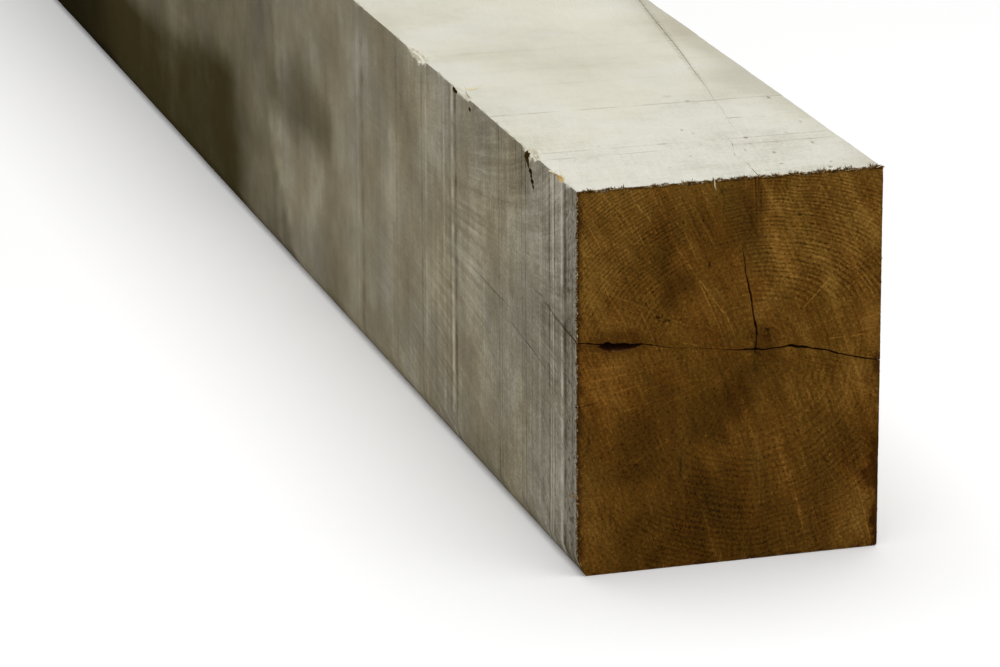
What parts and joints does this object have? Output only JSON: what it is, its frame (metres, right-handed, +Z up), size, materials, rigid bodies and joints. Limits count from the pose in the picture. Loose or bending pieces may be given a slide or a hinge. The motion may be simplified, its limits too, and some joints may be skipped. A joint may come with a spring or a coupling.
{
  "type": "oak beam",
  "caption": "Sawn oak beam of rectangular section, with a heart shake across one end, drying checks, a waney lower arris and chipped edges, for posts, lintels and frames.",
  "frame": {"origin": "centre of the beam's underside", "axes": "+Z up, +Y along the beam away from the end with the heart shake, +X across its width to the right as seen from that end"},
  "size_m": [0.2, 2.5, 0.25],
  "materials": {
    "sawn_oak": "rough sawn, weathered grey on the sides, brown end grain"
  },
  "bodies": {
    "root": {"oak_beam": "sawn_oak"}
  },
  "joints": []
}
